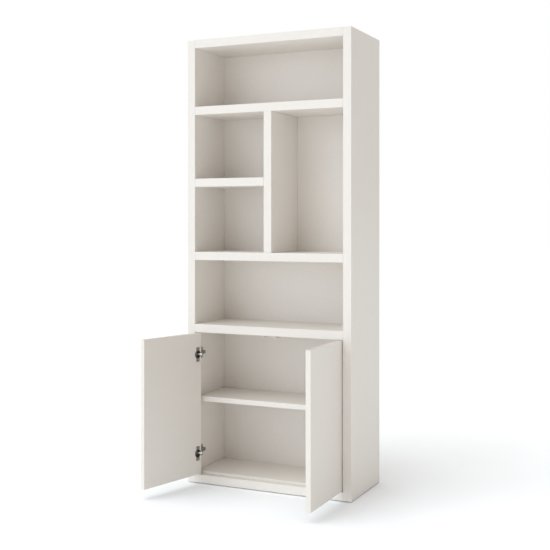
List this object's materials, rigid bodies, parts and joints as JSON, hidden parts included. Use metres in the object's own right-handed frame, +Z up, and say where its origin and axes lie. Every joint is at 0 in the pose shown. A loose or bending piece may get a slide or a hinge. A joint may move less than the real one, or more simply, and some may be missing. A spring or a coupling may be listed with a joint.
{
  "type": "bookcase with cupboard",
  "caption": "Tall white lacquered open-shelf bookcase with a cupboard below, behind two plain inset doors on concealed cup hinges with push latches.",
  "frame": {"origin": "on the floor at the middle of the case's footprint, 3 mm under the base panel's underside", "axes": "+Z up, +X to the viewer's right, and the doors' side faces -Y"},
  "size_m": [0.8285, 0.7016, 2],
  "materials": {
    "white_lacquer": "satin white lacquer",
    "nickel_steel": "nickel plated",
    "grey_plastic": "moulded, matt",
    "white_plastic": "moulded, matt"
  },
  "bodies": {
    "carcass": {"back_panel": "white_lacquer", "base_panel": "white_lacquer", "cupboard_floor": "white_lacquer", "cupboard_shelf": "white_lacquer", "divider_upright": "white_lacquer", "floor_glide_left_front": "grey_plastic", "floor_glide_left_rear": "grey_plastic", "floor_glide_right_front": "grey_plastic", "floor_glide_right_rear": "grey_plastic", "hinge_arm_left_lower": "nickel_steel", "hinge_arm_left_upper": "nickel_steel", "hinge_arm_right_lower": "nickel_steel", "hinge_arm_right_upper": "nickel_steel", "hinge_plate_left_lower": "nickel_steel", "hinge_plate_left_upper": "nickel_steel", "hinge_plate_right_lower": "nickel_steel", "hinge_plate_right_upper": "nickel_steel", "plate_screw_left_lower_high": "nickel_steel", "plate_screw_left_lower_low": "nickel_steel", "plate_screw_left_upper_high": "nickel_steel", "plate_screw_left_upper_low": "nickel_steel", "plate_screw_right_lower_high": "nickel_steel", "plate_screw_right_lower_low": "nickel_steel", "plate_screw_right_upper_high": "nickel_steel", "plate_screw_right_upper_low": "nickel_steel", "push_latch_left": "white_plastic", "push_latch_right": "white_plastic", "shelf_counter": "white_lacquer", "shelf_left_bay": "white_lacquer", "shelf_middle": "white_lacquer", "shelf_pin_left_front": "nickel_steel", "shelf_pin_left_rear": "nickel_steel", "shelf_pin_right_front": "nickel_steel", "shelf_pin_right_rear": "nickel_steel", "shelf_top_bay": "white_lacquer", "side_panel_left": "white_lacquer", "side_panel_right": "white_lacquer", "top_panel": "white_lacquer"},
    "left_door": {"cup_screw_left_lower_high": "nickel_steel", "cup_screw_left_lower_low": "nickel_steel", "cup_screw_left_upper_high": "nickel_steel", "cup_screw_left_upper_low": "nickel_steel", "door_left": "white_lacquer", "hinge_cup_left_lower": "nickel_steel", "hinge_cup_left_upper": "nickel_steel"},
    "right_door": {"cup_screw_right_lower_high": "nickel_steel", "cup_screw_right_lower_low": "nickel_steel", "cup_screw_right_upper_high": "nickel_steel", "cup_screw_right_upper_low": "nickel_steel", "door_right": "white_lacquer", "hinge_cup_right_lower": "nickel_steel", "hinge_cup_right_upper": "nickel_steel"},
    "left_links": {"hinge_link_left_lower": "nickel_steel", "hinge_link_left_upper": "nickel_steel"},
    "right_links": {"hinge_link_right_lower": "nickel_steel", "hinge_link_right_upper": "nickel_steel"},
    "left_plunger": {"latch_plunger_left": "white_plastic"},
    "right_plunger": {"latch_plunger_right": "white_plastic"}
  },
  "joints": [
    {"name": "left_door_swing", "type": "hinge", "parent": "carcass", "child": "left_door", "pos_m": [-0.348, -0.175, 0.3605], "axis": [0, 0, -1], "range_deg": [-103.5, 6.5]},
    {"name": "left_link_swing", "type": "hinge", "parent": "carcass", "child": "left_links", "pos_m": [-0.3515, -0.1531, 0.3605], "axis": [0, 0, -1], "range_deg": [-55.16, 3.75]},
    {"name": "left_latch_press", "type": "slide", "parent": "carcass", "child": "left_plunger", "axis": [0, 1, 0], "range_m": [0, 0.003], "stiffness_N_per_m": 400, "springref_m": -0.002},
    {"name": "right_door_swing", "type": "hinge", "parent": "carcass", "child": "right_door", "pos_m": [0.348, -0.175, 0.3605], "axis": [0, 0, 1], "range_deg": [-90.5, 19.5]},
    {"name": "right_link_swing", "type": "hinge", "parent": "carcass", "child": "right_links", "pos_m": [0.3515, -0.1531, 0.3605], "axis": [0, 0, 1], "range_deg": [-48.27, 10.63]},
    {"name": "right_latch_press", "type": "slide", "parent": "carcass", "child": "right_plunger", "axis": [0, 1, 0], "range_m": [0, 0.003], "stiffness_N_per_m": 400, "springref_m": -0.002}
  ],
  "couplings": [
    {"joint": "left_link_swing", "follows": "left_door_swing", "ratio": 0.53},
    {"joint": "right_link_swing", "follows": "right_door_swing", "ratio": 0.53}
  ]
}
